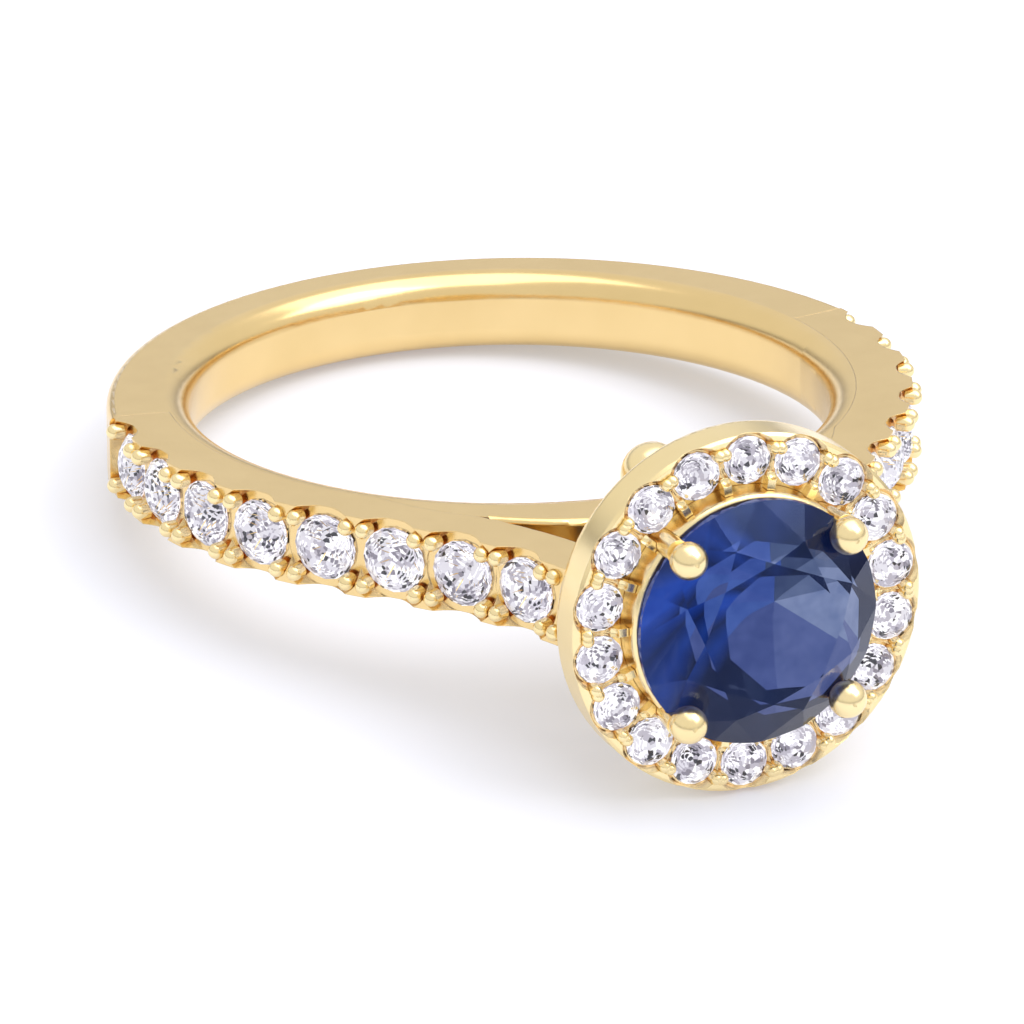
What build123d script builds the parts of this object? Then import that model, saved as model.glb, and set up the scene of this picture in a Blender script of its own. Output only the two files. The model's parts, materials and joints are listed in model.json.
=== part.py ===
"""Halo engagement ring lying on its side, in millimetres.

The ring is built round its finger axis (+Z while building), with the head towards -Y, and at
the end everything is leaned together until the halo and the back of the band both rest on a
level floor. The origin is the centre of the finger bore.

Head pieces are drawn in the head's own frame: Z is the height from the finger axis towards the
centre stone, X runs across the band and Y along the finger.
"""

import os
from math import acos, asin, atan, cos, degrees, hypot, pi, radians, sin, sqrt, tan

from build123d import *

# Band
BORE_R = 8.45
BAND_HALF_W = 1.08
BORE_EDGE_ROUND = 0.65
BACK_R = 10.12
CHEEK_R = 10.76
CHEEK_ANGLE = 100.0
OUTER_EDGE_ROUND = 0.22
REBATE_R = 9.15
BRIDGE_R = 7.20
BRIDGE_CENTRE_H = 3.30
BRIDGE_BARE_HALF_W = 4.40
BRIDGE_EDGE_ROUND = 0.16

# Row of shoulder diamonds: an arc round the finger, a straight, then a flare up to the head,
# all measured at the diamonds' girdles
ROW_R = 10.40
ROW_FIRST_ANGLE = 94.5
ROW_ARC_END = 51.5
ROW_STRAIGHT = 3.4
ROW_FLARE_R = 13.0
ROW_PITCH = 2.01
ROW_COUNT = 8
ROW_STONE_R = 0.875
ARM_DEPTH = 1.56
ARM_SURFACE_DROP = 0.02
GRAIN_R = 0.21
GRAIN_LENGTH = 0.25
GRAIN_ALONG = 0.755
GRAIN_ACROSS = 0.75

# Centre stone and its claws, as (radius from the head axis, height)
CENTRE_R = 3.25
CENTRE_GIRDLE_H = 15.95
CLAW_BALL_R = 0.49
CLAW_BALL_AT = (3.117, 16.59)
CLAW_WIRE_R = 0.31
CLAW_LINE = ((1.79, 10.6), (2.33, 12.0), (2.96, 14.0), (3.15, 15.2), (3.27, 16.2))
CLAW_ANGLES = (45, 135, 225, 315)
CLAW_NAMES = ("ne", "nw", "sw", "se")

# Halo
HALO_COUNT = 18
HALO_FIRST_ANGLE = 0.43
HALO_R = 4.077
HALO_GIRDLE_H = 15.17
HALO_STONE_R = 0.64
HALO_WALL_R = 4.80
HALO_INNER_R = 3.62
HALO_CHANNEL_DEPTH = 0.50
HALO_SURFACE_DROP = 0.05
HALO_BOTTOM_H = 13.95
HALO_FOOT_ROUND = 0.40
HALO_LIP = 0.08
HALO_SCALLOP_R = 0.68
OUTER_CLAW_R = 0.165
OUTER_CLAW_SPLIT = 0.08
OUTER_CLAW_AT = 4.42
OUTER_CLAW_LENGTH = 0.30
INNER_BEAD_R = 0.18
INNER_BEAD_AT = 3.74
TIE_HALF_W = 0.11
TIE_DEPTH = 0.30

# Collar, gallery floor, basket and side bosses
COLLAR_INNER_R = 2.95
COLLAR_OUTER_R = 3.30
COLLAR_TOP_H = 15.62
COLLAR_ROUND = 0.14
FLOOR_OUTER_R = 4.38
FLOOR_THICKNESS = 0.20
FLOOR_ROUND = 0.08
BASE_INNER_R = 1.35
BASE_OUTER_R = 2.15
BASE_BOTTOM_H = 9.95
BASE_TOP_H = 11.00
RAIL_R = 2.33
RAIL_WIRE_R = 0.26
RAIL_H = 12.0
BOSS_R = 0.83
BOSS_H = 9.35
BOSS_DOME_CENTRE_Z = 1.73

# Round-brilliant proportions, as shares of the stone's diameter
TABLE_SHARE = 0.57
CROWN_SHARE = 0.15
GIRDLE_SHARE = 0.03
PAVILION_SHARE = 0.43
STAR_REACH = 0.78
LOWER_HALF_REACH = 0.30
ROUGH_GROWTH = 1.025
ROUGH_GIRDLE_SHARE = 0.01

# Settings: a ledge just under the girdle, and walls opening out at this angle from the stone
SEAT_CLEARANCE = 0.01
FIT_GAP = 0.006
LEDGE_BELOW_GIRDLE = 0.045
SCALLOP_ANGLE = 30.0
OVERCUT = 0.3

HEAD = Plane(origin=(0, 0, 0), x_dir=(1, 0, 0), z_dir=(0, -1, 0)).location
GALLERY_H = HALO_BOTTOM_H - FLOOR_THICKNESS
HALO_TABLE_H = HALO_GIRDLE_H + 2 * HALO_STONE_R * CROWN_SHARE
ROW_CROWN = 2 * ROW_STONE_R * CROWN_SHARE


def lean_angle():
    """Angle between the finger axis and vertical when halo and band both touch the floor."""
    run = BACK_R - OUTER_EDGE_ROUND + HALO_BOTTOM_H + HALO_FOOT_ROUND
    rise = HALO_WALL_R - HALO_FOOT_ROUND - (BAND_HALF_W - OUTER_EDGE_ROUND)
    return degrees(atan(rise / run) + asin((HALO_FOOT_ROUND - OUTER_EDGE_ROUND) / hypot(run, rise)))


def stone_heights(radius, girdle_share=GIRDLE_SHARE):
    """Depths of the girdle's top, the girdle's bottom and the culet below the table."""
    girdle_top = 2 * radius * CROWN_SHARE
    girdle_bottom = girdle_top + 2 * radius * girdle_share
    return girdle_top, girdle_bottom, girdle_bottom + 2 * radius * PAVILION_SHARE


def polar(radius, angle, z):
    return Vector(radius * cos(radians(angle)), radius * sin(radians(angle)), z)


def brilliant(radius, girdle_share=GIRDLE_SHARE):
    """Round brilliant with its table at Z = 0 and its culet below."""
    girdle_top, girdle_bottom, culet_depth = stone_heights(radius, girdle_share)
    table_r = radius * TABLE_SHARE
    crown_slope = girdle_top / (radius - table_r)
    pavilion_slope = (culet_depth - girdle_bottom) / radius
    star_r = table_r + STAR_REACH * 0.5 * (radius - table_r)
    star_z = -crown_slope * (star_r * cos(pi / 8) - table_r)
    half_r = radius * LOWER_HALF_REACH
    half_z = -culet_depth + pavilion_slope * half_r * cos(pi / 8)
    culet = Vector(0, 0, -culet_depth)

    def main(k, r, z):
        return polar(r, 45 * k, z)

    def between(k, r, z):
        return polar(r, 45 * k + 22.5, z)

    faces = [[main(k, table_r, 0) for k in range(8)]]
    for k in range(8):
        star, star_back = between(k, star_r, star_z), between(k - 1, star_r, star_z)
        half, half_back = between(k, half_r, half_z), between(k - 1, half_r, half_z)
        top, low = main(k, radius, -girdle_top), main(k, radius, -girdle_bottom)
        top_half, low_half = between(k, radius, -girdle_top), between(k, radius, -girdle_bottom)
        top_back = between(k - 1, radius, -girdle_top)
        low_back = between(k - 1, radius, -girdle_bottom)
        faces.append([main(k, table_r, 0), star, main(k + 1, table_r, 0)])
        faces.append([main(k, table_r, 0), star_back, top, star])
        faces.append([star, top, top_half])
        faces.append([star_back, top_back, top])
        faces.append([top, low, low_half, top_half])
        faces.append([top_back, low_back, low, top])
        faces.append([half, low_half, low])
        faces.append([half_back, low, low_back])
        faces.append([culet, half, low, half_back])
    return Solid(Shell([Face(Wire.make_polygon(points)) for points in faces]))


def ground_brilliant(radius):
    """Brilliant cut a little large, its girdle then ground to a true circle."""
    rough = brilliant(radius * ROUGH_GROWTH, ROUGH_GIRDLE_SHARE)
    return rough & Cylinder(radius, 4 * radius)


def setting_cutter(radius, wall_reach, surface_drop):
    """What the setter's cutter removes for one stone, its table at Z = 0.

    wall_reach is how far from the stone's axis the scallop opens at the ledge.
    """
    _, girdle_bottom, culet_depth = stone_heights(radius)
    ledge = girdle_bottom + LEDGE_BELOW_GIRDLE
    seat_r = radius * (culet_depth - ledge) / (culet_depth - girdle_bottom) + SEAT_CLEARANCE
    flare_r = wall_reach + (ledge - surface_drop + OVERCUT) * tan(radians(SCALLOP_ANGLE))
    outline = Polyline(
        (0, -culet_depth - 2 * SEAT_CLEARANCE),
        (seat_r, -ledge),
        (wall_reach, -ledge),
        (flare_r, OVERCUT - surface_drop),
        (0, OVERCUT - surface_drop),
        close=True,
    )
    return revolve(Plane.XZ * make_face(outline), Axis.Z)


def stone_relief(radius, cut=brilliant):
    """A stone grown by the fitting gap, for notching the metal that holds it."""
    return Pos(0, 0, FIT_GAP) * cut(radius + 2 * FIT_GAP)


# The row line through the girdles, in (u, h): u sideways from the head axis, h towards the head


def row_knots():
    """End of the arc, end of the straight and centre of the flare."""
    out = Vector(sin(radians(ROW_ARC_END)), cos(radians(ROW_ARC_END)))
    along = Vector(-out.Y, out.X)
    arc_end = ROW_R * out
    straight_end = arc_end + ROW_STRAIGHT * along
    return arc_end, straight_end, straight_end + ROW_FLARE_R * out


def row_point(angle, drop, flare=False):
    """Point under the row line where its outward direction is `angle` degrees from the head."""
    out = Vector(sin(radians(angle)), cos(radians(angle)))
    if flare:
        return row_knots()[2] - (ROW_FLARE_R + drop) * out
    return (ROW_R - drop) * out


def row_station(s):
    """Point on the row line and outward angle, s mm along from the first diamond."""
    arc_end, straight_end, flare_centre = row_knots()
    arc_length = ROW_R * radians(ROW_FIRST_ANGLE - ROW_ARC_END)
    if s < arc_length:
        angle = ROW_FIRST_ANGLE - degrees(s / ROW_R)
        return row_point(angle, 0), angle
    if s < arc_length + ROW_STRAIGHT:
        share = (s - arc_length) / ROW_STRAIGHT
        return arc_end + share * (straight_end - arc_end), ROW_ARC_END
    angle = ROW_ARC_END + degrees((s - arc_length - ROW_STRAIGHT) / ROW_FLARE_R)
    return row_point(angle, 0, flare=True), angle


def flare_end_angle(height, drop):
    return degrees(acos((row_knots()[2].Y - height) / (ROW_FLARE_R + drop)))


def on_side(side, point, z=0.0):
    """(u, h) on the left (-1) or right (+1) shoulder to the ring's frame."""
    return Vector(side * point.X, -point.Y, z)


def row_frame(side, s, z=0.0):
    """Location at table level, with Z along the row's outward direction and X along the row."""
    point, angle = row_station(s)
    out = Vector(side * sin(radians(angle)), -cos(radians(angle)), 0)
    along = Vector(cos(radians(angle)), side * sin(radians(angle)), 0)
    origin = on_side(side, point, z) + ROW_CROWN * out
    return Plane(origin=origin, x_dir=along, z_dir=out).location


def halo_frame(angle, radius, height):
    """Location in the head frame, X pointing outward, `angle` degrees round from the top."""
    return Pos(0, 0, height) * Rot(Z=90 - angle) * Pos(radius, 0, 0)


# Gold


def bore_cutter():
    """Finger hole with both edges rounded over."""
    straight = BAND_HALF_W - BORE_EDGE_ROUND
    mouth_r = BORE_R + BORE_EDGE_ROUND
    end = BAND_HALF_W + OVERCUT
    mid = BORE_EDGE_ROUND * sqrt(0.5)
    outline = [
        Line((0, -end), (mouth_r, -end)),
        Line((mouth_r, -end), (mouth_r, -BAND_HALF_W)),
        ThreePointArc(
            (mouth_r, -BAND_HALF_W), (mouth_r - mid, -straight - mid), (BORE_R, -straight)
        ),
        Line((BORE_R, -straight), (BORE_R, straight)),
        ThreePointArc((BORE_R, straight), (mouth_r - mid, straight + mid), (mouth_r, BAND_HALF_W)),
        Line((mouth_r, BAND_HALF_W), (mouth_r, end)),
        Line((mouth_r, end), (0, end)),
        Line((0, end), (0, -end)),
    ]
    return revolve(Plane.XZ * make_face(outline), Axis.Z)


def from_head(radius, angle):
    return Vector(radius * sin(radians(angle)), -radius * cos(radians(angle)), 0)


def bridge_angle(bridge_r, rebate_r):
    """Angle from the head at which the bridge rises out of the rebates."""
    height = (rebate_r**2 - bridge_r**2 + BRIDGE_CENTRE_H**2) / (2 * BRIDGE_CENTRE_H)
    return degrees(acos(height / rebate_r))


def band_blank(gap):
    """Side view of the band, grown by `gap` where other pieces are let into it."""
    bridge_r, rebate_r = BRIDGE_R + gap, REBATE_R + gap
    end = bridge_angle(bridge_r, rebate_r)
    cheek = CHEEK_ANGLE - degrees(gap / CHEEK_R)
    top = from_head(BRIDGE_CENTRE_H + bridge_r, 0)
    half = (end + cheek) / 2
    edges = [ThreePointArc(from_head(rebate_r, -end), top, from_head(rebate_r, end))]
    for side in (1, -1):
        near, far = side * end, side * cheek
        edges.append(ThreePointArc(*[from_head(rebate_r, a) for a in (near, side * half, far)]))
        edges.append(Line(from_head(rebate_r, far), from_head(CHEEK_R, far)))
    edges.append(
        ThreePointArc(from_head(CHEEK_R, cheek), from_head(BACK_R, 180), from_head(CHEEK_R, -cheek))
    )
    return extrude(make_face(edges), BAND_HALF_W + gap, both=True)


def bridge_rounding():
    """What rounding over takes off the bare middle of the bridge."""
    bar = Cylinder(BRIDGE_R, 2 * BAND_HALF_W)
    bar = fillet(bar.edges().filter_by(GeomType.CIRCLE), BRIDGE_EDGE_ROUND)
    reach = BRIDGE_R + OVERCUT
    ahead = (Align.CENTER, Align.MAX, Align.CENTER)
    bare = Box(2 * BRIDGE_BARE_HALF_W, reach, 2 * (BAND_HALF_W + OVERCUT), align=ahead)
    return Pos(0, -BRIDGE_CENTRE_H, 0) * (bare - bar)


def shank():
    """The whole band: bridge under the head, rebates for the shoulders, plain back."""
    blank = band_blank(0)
    arcs = blank.edges().filter_by(GeomType.CIRCLE)
    blank = fillet([arc for arc in arcs if (arc @ 0.5).Y > BORE_R], OUTER_EDGE_ROUND)
    return blank - bridge_rounding() - bore_cutter()


def arm_outline(side):
    """Strip from the cheek to the gallery, reaching ARM_DEPTH under the diamonds' tables."""
    arc_end, straight_end, _ = row_knots()
    edges = []
    ends = []
    for drop in (ARM_SURFACE_DROP - ROW_CROWN, ARM_DEPTH - ROW_CROWN):
        inward = Vector(sin(radians(ROW_ARC_END)), cos(radians(ROW_ARC_END))) * drop
        last = flare_end_angle(GALLERY_H - FIT_GAP, drop)
        arc = [row_point(a, drop) for a in (CHEEK_ANGLE, (CHEEK_ANGLE + ROW_ARC_END) / 2)]
        arc.append(arc_end - inward)
        flare = [row_point(a, drop, True) for a in ((ROW_ARC_END + last) / 2, last)]
        flare.insert(0, straight_end - inward)
        edges.append(ThreePointArc(*[on_side(side, p) for p in arc]))
        edges.append(Line(on_side(side, arc[-1]), on_side(side, flare[0])))
        edges.append(ThreePointArc(*[on_side(side, p) for p in flare]))
        ends.append((on_side(side, arc[0]), on_side(side, flare[-1])))
    edges.append(Line(ends[0][0], ends[1][0]))
    edges.append(Line(ends[0][1], ends[1][1]))
    return make_face(edges)


def grain_places():
    """Centres of the four grains round one diamond, in the diamond's own frame."""
    return [(x, z) for x in (-GRAIN_ALONG, GRAIN_ALONG) for z in (-GRAIN_ACROSS, GRAIN_ACROSS)]


def grain(gap):
    """Round-topped post standing in the arm."""
    radius = GRAIN_R + gap
    stem = Cylinder(radius, GRAIN_LENGTH + gap, align=(Align.CENTER, Align.CENTER, Align.MAX))
    return Sphere(radius) + stem


def end_grain_places(side):
    """Frames of the lone pair between the last diamond and the head."""
    s = (ROW_COUNT - 1) * ROW_PITCH + ROW_PITCH - GRAIN_ALONG
    return [row_frame(side, s, z) for z in (-GRAIN_ACROSS, GRAIN_ACROSS)]


def shoulder(side):
    arm = extrude(arm_outline(side), BAND_HALF_W, both=True) - band_blank(FIT_GAP)
    cutter = setting_cutter(ROW_STONE_R, BAND_HALF_W + SEAT_CLEARANCE, ARM_SURFACE_DROP)
    for x, y in grain_places():
        cutter += Pos(x, y, 0) * grain(FIT_GAP)
    for k in range(ROW_COUNT):
        arm -= row_frame(side, k * ROW_PITCH) * cutter
    for place in end_grain_places(side):
        arm -= place * grain(FIT_GAP)
    return arm


def shoulder_grains(side):
    """Grains that hold the diamonds, four to a stone, and the pair nearest the head."""
    relief = stone_relief(ROW_STONE_R)
    notched = [Pos(x, y, 0) * grain(0) - relief for x, y in grain_places()]
    grains = [row_frame(side, k * ROW_PITCH) * one for k in range(ROW_COUNT) for one in notched]
    return grains + [place * grain(0) for place in end_grain_places(side)]


def halo_gallery():
    """Wall and seat plate of the halo, scalloped round each diamond, stepped down to the collar."""
    top = HALO_TABLE_H - HALO_SURFACE_DROP
    channel = top - HALO_CHANNEL_DEPTH
    inner_r = COLLAR_OUTER_R + FIT_GAP
    foot = HALO_BOTTOM_H + HALO_FOOT_ROUND
    toe_r = HALO_WALL_R - HALO_FOOT_ROUND
    mid = HALO_FOOT_ROUND * sqrt(0.5)
    outline = [
        Line((inner_r, HALO_BOTTOM_H), (toe_r, HALO_BOTTOM_H)),
        ThreePointArc((toe_r, HALO_BOTTOM_H), (toe_r + mid, foot - mid), (HALO_WALL_R, foot)),
        Line((HALO_WALL_R, foot), (HALO_WALL_R, top - HALO_LIP)),
        Line((HALO_WALL_R, top - HALO_LIP), (HALO_WALL_R - HALO_LIP, top)),
        Line((HALO_WALL_R - HALO_LIP, top), (HALO_INNER_R, top)),
        Line((HALO_INNER_R, top), (HALO_INNER_R, channel)),
        Line((HALO_INNER_R, channel), (inner_r, channel)),
        Line((inner_r, channel), (inner_r, HALO_BOTTOM_H)),
    ]
    gallery = revolve(Plane.XZ * make_face(outline), Axis.Z)
    cutter = setting_cutter(HALO_STONE_R, HALO_SCALLOP_R, HALO_SURFACE_DROP)
    beds = ((INNER_BEAD_AT, inner_bead(FIT_GAP)), (OUTER_CLAW_AT, outer_claw(FIT_GAP)))
    for k in range(HALO_COUNT):
        gallery -= halo_frame(stone_angle(k), HALO_R, HALO_TABLE_H) * cutter
        for radius, bed in beds:
            gallery -= halo_frame(stone_angle(k + 0.5), radius, HALO_TABLE_H) * bed
    return gallery


def stone_angle(k):
    return HALO_FIRST_ANGLE + 360 * k / HALO_COUNT


def outer_claw(gap):
    """Claw split in two along the rim, each half a round-topped post."""
    radius = OUTER_CLAW_R + gap
    length = OUTER_CLAW_LENGTH + gap
    post = Sphere(radius) + Cylinder(radius, length, align=(Align.CENTER, Align.CENTER, Align.MAX))
    return Pos(0, -OUTER_CLAW_SPLIT, 0) * post + Pos(0, OUTER_CLAW_SPLIT, 0) * post


def inner_bead(gap):
    """Grain bead with the tie that joins it to the collar."""
    reach = INNER_BEAD_AT - COLLAR_OUTER_R - SEAT_CLEARANCE
    tie = Box(
        reach,
        2 * (TIE_HALF_W + gap),
        TIE_DEPTH + gap,
        align=(Align.MAX, Align.CENTER, Align.MAX),
    )
    return Sphere(INNER_BEAD_R + gap) + tie


def between_stones(radius, piece):
    """One copy of `piece` between each pair of halo diamonds, notched for both."""
    relief = stone_relief(HALO_STONE_R)
    stones = [halo_frame(stone_angle(k), HALO_R, HALO_TABLE_H) * relief for k in (0, 1)]
    first = halo_frame(stone_angle(0.5), radius, HALO_TABLE_H) * piece - stones[0] - stones[1]
    return [Rot(Z=-360 * k / HALO_COUNT) * first for k in range(HALO_COUNT)]


def collar_ring():
    """Plain tube with a rounded rim, round the centre stone."""
    height = COLLAR_TOP_H - HALO_BOTTOM_H
    tube = Cylinder(COLLAR_OUTER_R, height) - Cylinder(COLLAR_INNER_R, 2 * height)
    rim = tube.edges().filter_by(GeomType.CIRCLE).group_by(Axis.Z)[-1]
    return Pos(0, 0, HALO_BOTTOM_H + height / 2) * fillet(rim, COLLAR_ROUND)


def gallery_floor():
    floor = Cylinder(FLOOR_OUTER_R, FLOOR_THICKNESS, align=(Align.CENTER, Align.CENTER, Align.MIN))
    floor = fillet(floor.edges().group_by(Axis.Z)[0], FLOOR_ROUND)
    floor = Pos(0, 0, GALLERY_H) * floor
    return floor - Pos(0, 0, GALLERY_H) * Cylinder(COLLAR_INNER_R, 2 * FLOOR_THICKNESS)


def claw_wire(radius):
    line = Spline(*[(r, 0, h) for r, h in CLAW_LINE])
    return sweep(Plane(origin=line @ 0, z_dir=line % 0) * Circle(radius), path=line)


def claw(angle, stone_notch):
    """Wire rising from the basket base, with a ball tip pressed over the girdle."""
    ball = Pos(CLAW_BALL_AT[0], 0, CLAW_BALL_AT[1]) * Sphere(CLAW_BALL_R)
    return Rot(Z=angle) * (claw_wire(CLAW_WIRE_R) + ball) - stone_notch


def basket_base():
    """Short tube standing astride the bridge."""
    height = BASE_TOP_H - BASE_BOTTOM_H
    tube = Cylinder(BASE_OUTER_R, height) - Cylinder(BASE_INNER_R, 2 * height)
    return Pos(0, 0, BASE_BOTTOM_H + height / 2) * tube


def side_boss(way, gap):
    """Domed stud on the flat side of the bridge, towards +Z or -Z."""
    start = BAND_HALF_W + FIT_GAP - gap
    length = BOSS_DOME_CENTRE_Z - start
    stem = Pos(0, 0, start + length / 2) * Cylinder(BOSS_R + gap, length)
    standing = (Align.CENTER, Align.CENTER, Align.MIN)
    dome = Pos(0, 0, BOSS_DOME_CENTRE_Z) * Sphere(BOSS_R + gap, arc_size1=0, align=standing)
    turn = Rot(X=0 if way > 0 else 180)
    return Pos(0, -BOSS_H, 0) * turn * (stem + dome)


def centre_pieces():
    """Centre stone, its claws, collar, floor and rail, in the head's frame."""
    table_h = CENTRE_GIRDLE_H + stone_heights(CENTRE_R)[0]
    notch = Pos(0, 0, table_h) * stone_relief(CENTRE_R, ground_brilliant)
    parts = {"centre_sapphire": Pos(0, 0, table_h) * ground_brilliant(CENTRE_R)}
    parts["centre_collar"] = collar_ring() - notch
    parts["gallery_floor"] = gallery_floor()
    parts["basket_rail"] = Pos(0, 0, RAIL_H) * Torus(RAIL_R, RAIL_WIRE_R)
    for angle in CLAW_ANGLES:
        passage = Rot(Z=angle) * claw_wire(CLAW_WIRE_R + FIT_GAP)
        for name in ("centre_collar", "gallery_floor", "basket_rail"):
            parts[name] -= passage
    for name, angle in zip(CLAW_NAMES, CLAW_ANGLES):
        parts[f"centre_claw_{name}"] = claw(angle, notch)
    return parts


def halo_pieces():
    """Gallery, diamonds, claws and beads of the halo, in the head's frame."""
    gem = brilliant(HALO_STONE_R)
    passages = [Rot(Z=angle) * claw_wire(CLAW_WIRE_R + FIT_GAP) for angle in CLAW_ANGLES]
    parts = {"halo_gallery": halo_gallery() - passages}
    for k in range(HALO_COUNT):
        place = halo_frame(stone_angle(k), HALO_R, HALO_TABLE_H)
        parts[f"halo_diamond_{k + 1:02d}"] = place * gem
    claws = between_stones(OUTER_CLAW_AT, outer_claw(0))
    beads = [bead - passages for bead in between_stones(INNER_BEAD_AT, inner_bead(0))]
    parts["halo_outer_claws"] = Compound(children=claws)
    parts["halo_inner_beads"] = Compound(children=beads)
    return parts


def base_piece():
    """Basket base, fitted over the bridge, round the bosses and under the claws."""
    base = HEAD * basket_base() - band_blank(FIT_GAP)
    for way in (1, -1):
        base -= side_boss(way, FIT_GAP)
    for angle in CLAW_ANGLES:
        base -= HEAD * Rot(Z=angle) * claw_wire(CLAW_WIRE_R + FIT_GAP)
    return base


def shoulder_pieces():
    """Both arms with their diamonds and grains."""
    gem = brilliant(ROW_STONE_R)
    parts = {}
    for name, side in (("left", -1), ("right", 1)):
        parts[f"shoulder_{name}"] = shoulder(side)
        parts[f"shoulder_grains_{name}"] = Compound(children=shoulder_grains(side))
        for k in range(ROW_COUNT):
            place = row_frame(side, k * ROW_PITCH)
            parts[f"shoulder_diamond_{name}_{k + 1}"] = place * gem
    return parts


def build():
    """Every piece by name, in the ring's frame."""
    head = {**centre_pieces(), **halo_pieces()}
    parts = {name: HEAD * part for name, part in head.items()}
    parts["shank"] = shank()
    parts["basket_base"] = base_piece()
    parts["side_boss_upper"] = side_boss(1, 0)
    parts["side_boss_lower"] = side_boss(-1, 0)
    return {**parts, **shoulder_pieces()}


def main():
    os.makedirs("parts", exist_ok=True)
    lean = Rot(X=-lean_angle())
    for name, part in build().items():
        export_step(lean * part, f"parts/{name}.step")
        print(name, round(part.volume, 4))
    print("lean", round(lean_angle(), 3))


main()
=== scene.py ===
"""Halo engagement ring, resting on its halo, on a white studio floor."""

import json
import math

import bpy
from mathutils import Matrix, Vector


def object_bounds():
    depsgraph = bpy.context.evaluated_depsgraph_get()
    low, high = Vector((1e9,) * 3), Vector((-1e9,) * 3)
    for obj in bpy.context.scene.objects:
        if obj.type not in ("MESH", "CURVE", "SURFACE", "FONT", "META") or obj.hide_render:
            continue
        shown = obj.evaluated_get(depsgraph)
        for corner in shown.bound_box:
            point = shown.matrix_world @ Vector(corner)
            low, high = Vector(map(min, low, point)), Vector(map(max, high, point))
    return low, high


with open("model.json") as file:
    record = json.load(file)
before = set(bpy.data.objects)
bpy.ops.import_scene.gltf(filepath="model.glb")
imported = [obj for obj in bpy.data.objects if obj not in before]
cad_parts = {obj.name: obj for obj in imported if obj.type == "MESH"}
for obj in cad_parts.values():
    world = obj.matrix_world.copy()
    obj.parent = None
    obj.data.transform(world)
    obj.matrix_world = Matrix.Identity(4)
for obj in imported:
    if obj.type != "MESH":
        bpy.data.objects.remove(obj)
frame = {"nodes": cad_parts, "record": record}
cad_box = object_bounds()

MM = 0.001
nodes = frame["nodes"]
record = frame["record"]

# The ring's own frame has the finger axis along +Z and the head facing -Y. LEAN turns it to rest.
bore = next(m for m in record["mounts"] if m["name"] == "finger_bore")
finger_axis = Vector(bore["axis"])
LEAN_ANGLE = math.atan2(finger_axis.y, finger_axis.z)
LEAN = Matrix.Rotation(-LEAN_ANGLE, 4, "X")

# Camera, in the ring's own frame
CAMERA_AZIMUTH = -23.05
CAMERA_ELEVATION = 20.68
CAMERA_ROLL = -0.26
CAMERA_DISTANCE = 290.7 * MM
CAMERA_ASIDE = 0.065 * MM
CAMERA_DOWN = 2.388 * MM
CAMERA_LENS = 386.7
CAMERA_SENSOR = 36.0
CAMERA_CLIP = (0.01, 10.0)


# Materials

# The Mix node's colour sockets share their names with its other sockets, so they go by number
MIX_COLOUR_IN = (6, 7)
MIX_COLOUR_OUT = 2


class Nodes:
    """A node tree, with short calls for the nodes used here."""

    def __init__(self, tree):
        self.tree = tree

    def add(self, kind, settings=None, **inputs):
        node = self.tree.nodes.new(kind)
        for name, value in (settings or {}).items():
            setattr(node, name, value)
        for name, value in inputs.items():
            self.set(node.inputs[name.replace("_", " ")], value)
        return node

    def set(self, socket, value):
        if isinstance(value, bpy.types.NodeSocket):
            self.tree.links.new(value, socket)
        else:
            socket.default_value = value

    def noise(self, scale, detail):
        where = self.add("ShaderNodeTexCoord").outputs["Object"]
        return self.add("ShaderNodeTexNoise", Vector=where, Scale=scale, Detail=detail).outputs["Fac"]

    def ring_place(self):
        """Millimetres in the ring's own frame."""
        where = self.add("ShaderNodeTexCoord").outputs["Object"]
        upright = (LEAN_ANGLE, 0, 0)
        scale = (1 / MM, 1 / MM, 1 / MM)
        mapping = self.add("ShaderNodeMapping", Vector=where, Rotation=upright, Scale=scale)
        return mapping.outputs["Vector"]

    def ramp(self, value, stops, interpolation="LINEAR"):
        """Colours by value, from (value, (red, green, blue)) stops."""
        node = self.add("ShaderNodeValToRGB", Fac=value)
        node.color_ramp.interpolation = interpolation
        elements = node.color_ramp.elements
        for _ in stops[2:]:
            elements.new(1.0)
        for element, (at, colour) in zip(elements, stops):
            element.position, element.color = at, (*colour, 1)
        return node.outputs["Color"]

    def spread(self, value, low, high):
        return self.add("ShaderNodeMapRange", Value=value, To_Min=low, To_Max=high).outputs["Result"]

    def math(self, operation, a, b=0.0):
        node = self.add("ShaderNodeMath", {"operation": operation})
        self.set(node.inputs[0], a)
        self.set(node.inputs[1], b)
        return node.outputs["Value"]

    def mix(self, share, a, b):
        node = self.add("ShaderNodeMix", {"data_type": "RGBA"}, Factor=share)
        for socket, colour in zip(MIX_COLOUR_IN, (a, b)):
            self.set(node.inputs[socket], colour)
        return node.outputs[MIX_COLOUR_OUT]

    def xyz(self, vector):
        return self.add("ShaderNodeSeparateXYZ", Vector=vector).outputs


class Material(Nodes):
    """A new material round one Principled shader. What glows in it isn't sampled as a lamp."""

    def __init__(self, name):
        self.material = bpy.data.materials.new(name)
        self.material.use_nodes = True
        self.material.cycles.emission_sampling = "NONE"
        super().__init__(self.material.node_tree)
        self.shader = self.tree.nodes["Principled BSDF"]

    def shade(self, **inputs):
        for name, value in inputs.items():
            self.set(self.shader.inputs[name.replace("_", " ")], value)


# A noise is (features to the metre, detail), and most of its values lie between the two of MIDDLE
MIDDLE = (0.35, 0.65)

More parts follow.
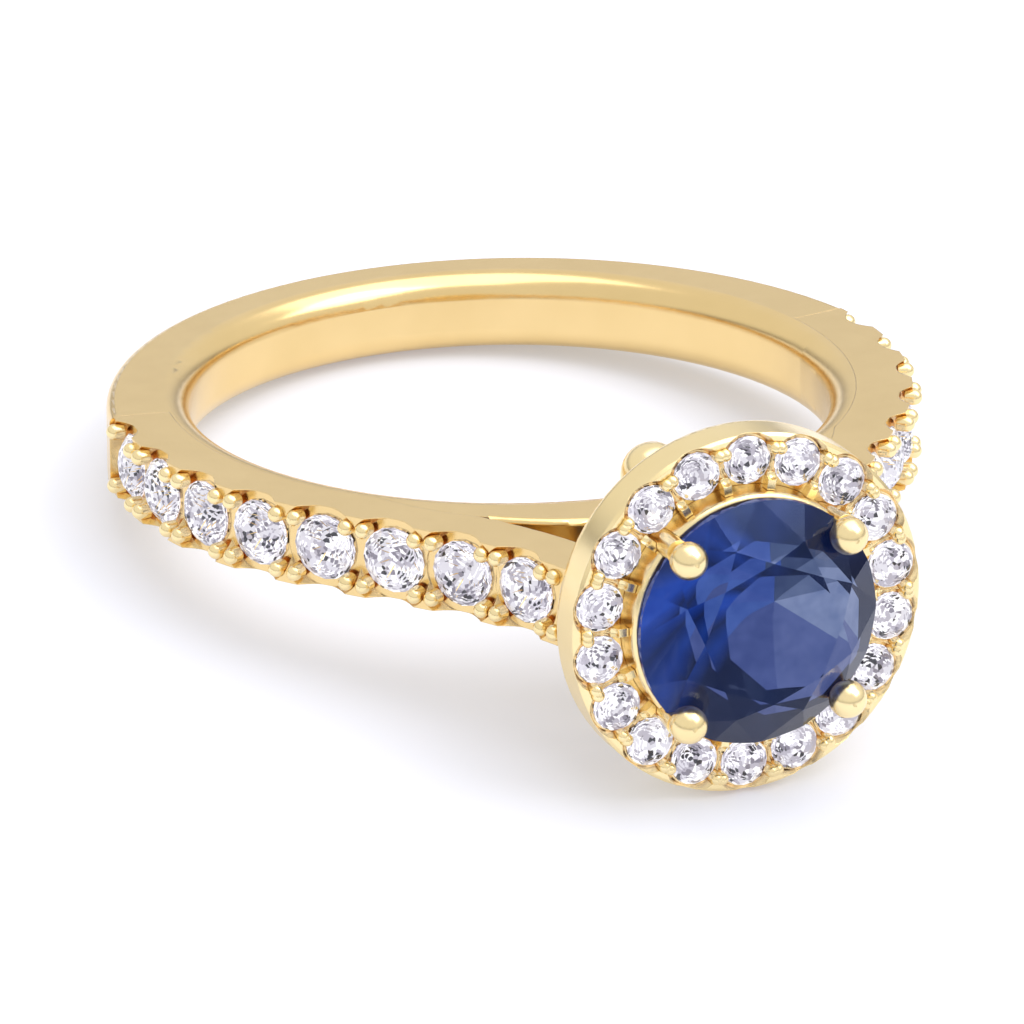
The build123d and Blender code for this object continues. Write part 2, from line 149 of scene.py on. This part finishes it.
# Gold
EDGE_SOFTNESS = 0.03 * MM
# Painted shade: ambient occlusion within RECESS finds how much open sky a point sees. Below the first
# share of RECESS_OPEN_SKY the gold is painted fully deep orange-brown, and above the second not at
# all.
RECESS = 0.30 * MM
RECESS_OPEN_SKY = (0.08, 0.40)
PROBES = 4
# Colour of the painted shade in the recesses, and also of the painted glow
PAINTED_SHADE_AND_GLOW_GOLD = (0.66, 0.31, 0.07, 1)
ALLOY_NOISE = (420, 4)
POLISH_NOISE = (1800, 5)
POLISH_SPREAD = (0.8, 1.3)
MARK_NOISE = (4200, 5)
MARK_STRENGTH = 0.04
MARK_DEPTH = 0.02 * MM
POLISHED = {"tones": ((0.83, 0.61, 0.28), (0.87, 0.645, 0.305)), "roughness": 0.20, "painted_glow": 0.0}
# Setting gold is given a faint painted glow; polished gold none
SETTING = {"tones": ((0.94, 0.76, 0.40), (0.98, 0.81, 0.45)), "roughness": 0.22, "painted_glow": 0.03}


def gold(name, tones, roughness, painted_glow):
    """Polished gold with painted shade, deep orange-brown in the recesses. It has fine polishing marks
    and softened edges, and setting gold also has a faint painted glow.
    """
    m = Material(name)
    probes = {"samples": PROBES}
    open_sky = m.add("ShaderNodeAmbientOcclusion", probes, Distance=RECESS).outputs["AO"]
    alloy = m.ramp(m.noise(*ALLOY_NOISE), list(zip(MIDDLE, tones)))
    dark, clear = RECESS_OPEN_SKY
    unshaded_share = m.add("ShaderNodeMapRange", Value=open_sky, From_Min=dark, From_Max=clear)
    soft_edge = m.add("ShaderNodeBevel", probes, Radius=EDGE_SOFTNESS).outputs["Normal"]
    marks = m.add("ShaderNodeBump", Strength=MARK_STRENGTH, Distance=MARK_DEPTH, Normal=soft_edge)
    m.set(marks.inputs["Height"], m.noise(*MARK_NOISE))
    smooth, dull = (roughness * share for share in POLISH_SPREAD)
    m.shade(
        Metallic=1.0,
        # Painted shade: deep orange-brown in the recesses, the alloy's tones in the open
        Base_Color=m.mix(unshaded_share.outputs["Result"], PAINTED_SHADE_AND_GLOW_GOLD, alloy),
        Roughness=m.spread(m.noise(*POLISH_NOISE), smooth, dull),
        Normal=marks.outputs["Normal"],
        # Painted glow: the gold gives off deep-gold light as strong as its glow setting
        Emission_Color=PAINTED_SHADE_AND_GLOW_GOLD,
        Emission_Strength=painted_glow,
    )
    return m.material


# Stones
BLACK = (0.0, 0.0, 0.0, 1)
WHITE = (1.0, 1.0, 1.0)
GIRDLE_LEAN = -0.02
CLOUD_NOISE = (1500, 2)


def gem(m, axis, painted_reflection, tint, index, level, sheen):
    """Glass above the girdle; below it, a pavilion that glows with painted reflections in the given
    colours.

    axis points out of the table, and faces turned from it by more than a girdle's are pavilion.
    """
    geometry = m.add("ShaderNodeNewGeometry").outputs
    facing = m.add("ShaderNodeVectorMath", {"operation": "DOT_PRODUCT"})
    m.set(facing.inputs[0], geometry["True Normal"])
    m.set(facing.inputs[1], axis)
    inside_out = m.math("SUBTRACT", 1.0, m.math("MULTIPLY", geometry["Backfacing"], 2.0))
    outward = m.math("MULTIPLY", facing.outputs["Value"], inside_out)
    crown = m.math("GREATER_THAN", outward, GIRDLE_LEAN)
    clear = m.ramp(m.noise(*CLOUD_NOISE), list(zip(MIDDLE, (tint, WHITE))))
    m.shade(
        Base_Color=m.mix(crown, BLACK, clear),
        IOR=index,
        Specular_Tint=(*sheen, 1),
        Specular_IOR_Level=level,
        Roughness=0.0,
        Transmission_Weight=crown,
        # Painted reflection: the pavilion is black and glows with the given colours
        Emission_Color=painted_reflection,
        Emission_Strength=m.math("SUBTRACT", 1.0, crown),
    )
    return m.material


# Diamond pavilion, painted sparkle: one tone of painted reflection for each cell of a mosaic,
# DIAMOND_MOSAIC cells to the millimetre
DIAMOND_PAINTED_SPARKLE = [
    (0.0, (0.01, 0.01, 0.015)),
    (0.09, (0.24, 0.22, 0.27)),
    (0.20, (0.50, 0.47, 0.54)),
    (0.45, (0.78, 0.76, 0.82)),
    (0.68, (1.08, 1.07, 1.10)),
]
DIAMOND_MOSAIC = 9.0
DIAMOND_GLASS = {"tint": (0.93, 0.92, 0.98), "index": 1.6, "level": 0.4, "sheen": (0.9, 0.9, 0.95)}


def diamond(axis):
    """Colourless stone whose pavilion glows with a small, sharp black-and-white mosaic of painted
    sparkle.
    """
    m = Material("diamond")
    cells = m.add("ShaderNodeTexVoronoi", Vector=m.ring_place(), Scale=DIAMOND_MOSAIC)
    tone = m.add("ShaderNodeSeparateColor", Color=cells.outputs["Color"]).outputs["Red"]
    return gem(m, axis, m.ramp(tone, DIAMOND_PAINTED_SPARKLE, "CONSTANT"), **DIAMOND_GLASS)


# Sapphire pavilion: the stone's own blue with painted light and shade, which the pavilion glows with,
# as tones by direction round FAN_CENTRE, where the facets seem to meet, at shares of a turn from the
# left through below, right and above. The fan tones, a painted grey-blue reflection, fill an octagon
# of half-width FAN_REACH round FAN_MIDDLE, and the ray tones, painted light and dark rays, blend into
# each other outside it. Places are (x, z) in millimetres of the ring's own frame.
FAN_CENTRE = (0.75, 0.20)
FAN_MIDDLE = (0.9, -0.5)
FAN_REACH = 1.45
FAN_BLUE_WITH_PAINTED_LIGHT = [
    (0.0, (0.05, 0.10, 0.36)),
    (0.083, (0.055, 0.08, 0.25)),
    (0.236, (0.085, 0.115, 0.30)),
    (0.40, (0.19, 0.24, 0.42)),
    (0.54, (0.10, 0.135, 0.26)),
    (0.625, (0.04, 0.06, 0.14)),
    (0.764, (0.04, 0.08, 0.32)),
    (0.917, (0.05, 0.09, 0.34)),
]
RAY_BLUE_WITH_PAINTED_LIGHT = [
    (0.0, (0.008, 0.042, 0.30)),
    (0.04, (0.002, 0.008, 0.05)),
    (0.08, (0.006, 0.032, 0.22)),
    (0.12, (0.002, 0.005, 0.03)),
    (0.22, (0.004, 0.010, 0.045)),
    (0.30, (0.002, 0.004, 0.020)),
    (0.42, (0.004, 0.010, 0.040)),
    (0.50, (0.002, 0.005, 0.025)),
    (0.60, (0.004, 0.010, 0.050)),
    (0.68, (0.002, 0.006, 0.030)),
    (0.76, (0.005, 0.015, 0.090)),
    (0.82, (0.002, 0.007, 0.040)),
    (0.87, (0.007, 0.030, 0.20)),
    (0.93, (0.002, 0.008, 0.05)),
    (0.97, (0.009, 0.050, 0.35)),
]
SAPPHIRE_GLASS = {"tint": (0.50, 0.57, 0.70), "index": 1.77, "level": 0.2, "sheen": (0.12, 0.17, 0.34)}


def sapphire(axis):
    """Deep blue stone whose pavilion glows with painted light: a grey-blue painted reflection seen
    through the table, painted dark and bright rays round it.
    """
    m = Material("sapphire")
    place = m.xyz(m.ring_place())

    def offset(centre):
        return (
            m.math("SUBTRACT", place["X"], centre[0]),
            m.math("SUBTRACT", place["Z"], centre[1]),
        )

    aside, above = offset(FAN_CENTRE)
    turn = m.math("ADD", m.math("DIVIDE", m.math("ARCTAN2", above, aside), 2 * math.pi), 0.5)
    across, up = (m.math("ABSOLUTE", value) for value in offset(FAN_MIDDLE))
    slant = m.math("MULTIPLY", m.math("ADD", across, up), math.sqrt(0.5))
    reach = m.math("MAXIMUM", m.math("MAXIMUM", across, up), slant)
    outside = m.math("GREATER_THAN", reach, FAN_REACH)
    painted_reflection = m.mix(outside, m.ramp(turn, FAN_BLUE_WITH_PAINTED_LIGHT, "CONSTANT"), m.ramp(turn, RAY_BLUE_WITH_PAINTED_LIGHT))
    return gem(m, axis, painted_reflection, **SAPPHIRE_GLASS)


# Decimals to which the normals of one flat face agree
FLAT_DIGITS = 2


def table_normal(stone):
    """Outward direction of the largest flat face."""
    areas = {}
    for face in stone.data.polygons:
        key = tuple(round(part, FLAT_DIGITS) for part in face.normal)
        areas[key] = areas.get(key, 0) + face.area
    return Vector(max(areas, key=areas.get)).normalized()


GOLDS = {
    "polished_gold": gold("polished_gold", **POLISHED),
    "setting_gold": gold("setting_gold", **SETTING),
}
GEMS = {"sapphire": sapphire, "diamond": diamond}
SLOTS = {part["node"]: part["material_slot"] for part in record["subparts"]}

for name, node in nodes.items():
    slot = SLOTS[name]
    material = GOLDS[slot] if slot in GOLDS else GEMS[slot](table_normal(node))
    node.data.materials.clear()
    node.data.materials.append(material)


# Stage


def link(obj):
    bpy.context.scene.collection.objects.link(obj)
    return obj


FLOOR_HALF = 6.0
FLOOR_NOISE = (3, 2)
FLOOR_TONES = [(0.3, (0.59, 0.59, 0.64)), (0.7, (0.61, 0.61, 0.66))]
FLOOR_GLOW = (0.91, 0.95, 1.0, 1)
FLOOR_GLOW_STRENGTH = 0.33
FLOOR_ROUGHNESS = 0.9
FLOOR_GLOSS = 0.1


def make_floor(height):
    """Matt white table that glows faintly, which keeps the shadows pale."""
    low, high = -FLOOR_HALF, FLOOR_HALF
    mesh = bpy.data.meshes.new("floor")
    corners = [(x, y, height) for x, y in ((low, low), (high, low), (high, high), (low, high))]
    mesh.from_pydata(corners, [], [(0, 1, 2, 3)])
    m = Material("floor_white")
    m.shade(
        Base_Color=m.ramp(m.noise(*FLOOR_NOISE), FLOOR_TONES),
        Roughness=FLOOR_ROUGHNESS,
        Specular_IOR_Level=FLOOR_GLOSS,
        Emission_Color=FLOOR_GLOW,
        Emission_Strength=FLOOR_GLOW_STRENGTH,
    )
    mesh.materials.append(m.material)
    link(bpy.data.objects.new("floor", mesh))


# Place in metres, side in metres and power in watts of each soft box
LIGHTS = {
    "overhead": ((0.12, 0.02, 0.52), 0.6, 1.5),
    "front_right": ((0.28, -0.20, 0.42), 0.35, 0.85),
}


def area_light(name, place, side, power):
    """Square soft box aimed at the ring."""
    data = bpy.data.lights.new(name, "AREA")
    data.shape, data.size = "SQUARE", side
    data.energy = power
    light = link(bpy.data.objects.new(name, data))
    light.location = place
    light.rotation_mode = "QUATERNION"
    light.rotation_quaternion = Vector(place).to_track_quat("Z", "Y")
    light.visible_camera = False


# Sky colours by height, from the horizon at 0 to straight up at 1
SKY = [(0.0, (0.12, 0.11, 0.12)), (0.19, (0.89, 0.89, 0.90)), (0.8, (0.88, 0.88, 0.90))]
BACKDROP = (0.84, 0.87, 0.96, 1)


def make_world():
    """White studio, dark at the horizon where the metal reflects it, plain behind the ring."""
    world = bpy.data.worlds.new("studio")
    world.use_nodes = True
    n = Nodes(world.node_tree)
    height = n.xyz(n.add("ShaderNodeTexCoord").outputs["Generated"])["Z"]
    seen = n.add("ShaderNodeLightPath").outputs["Is Camera Ray"]
    n.set(n.tree.nodes["Background"].inputs["Color"], n.mix(seen, n.ramp(height, SKY), BACKDROP))
    bpy.context.scene.world = world


def make_camera():
    """Camera set in the ring's own frame, then leaned with it."""
    angles = (CAMERA_AZIMUTH, CAMERA_ELEVATION, CAMERA_ROLL)
    azimuth, elevation, roll = (math.radians(angle) for angle in angles)
    right = Vector((math.cos(azimuth), math.sin(azimuth), 0))
    front = Vector((math.sin(azimuth), -math.cos(azimuth), 0))
    back = math.cos(elevation) * front + math.sin(elevation) * Vector((0, 0, 1))
    up = back.cross(right)
    right, up = (
        math.cos(roll) * right + math.sin(roll) * up,
        math.cos(roll) * up - math.sin(roll) * right,
    )
    place = CAMERA_DISTANCE * back + CAMERA_ASIDE * right - CAMERA_DOWN * up
    turn = Matrix((right, up, back)).transposed().to_4x4()
    data = bpy.data.cameras.new("camera")
    data.lens, data.sensor_width = CAMERA_LENS, CAMERA_SENSOR
    data.clip_start, data.clip_end = CAMERA_CLIP
    camera = link(bpy.data.objects.new("camera", data))
    camera.matrix_world = LEAN @ Matrix.Translation(place) @ turn
    bpy.context.scene.camera = camera


make_floor(cad_box[0].z)
make_world()
for name, (place, side, power) in LIGHTS.items():
    area_light(name, place, side, power)
make_camera()
view = bpy.context.scene.view_settings
view.view_transform, view.look = "Standard", "None"
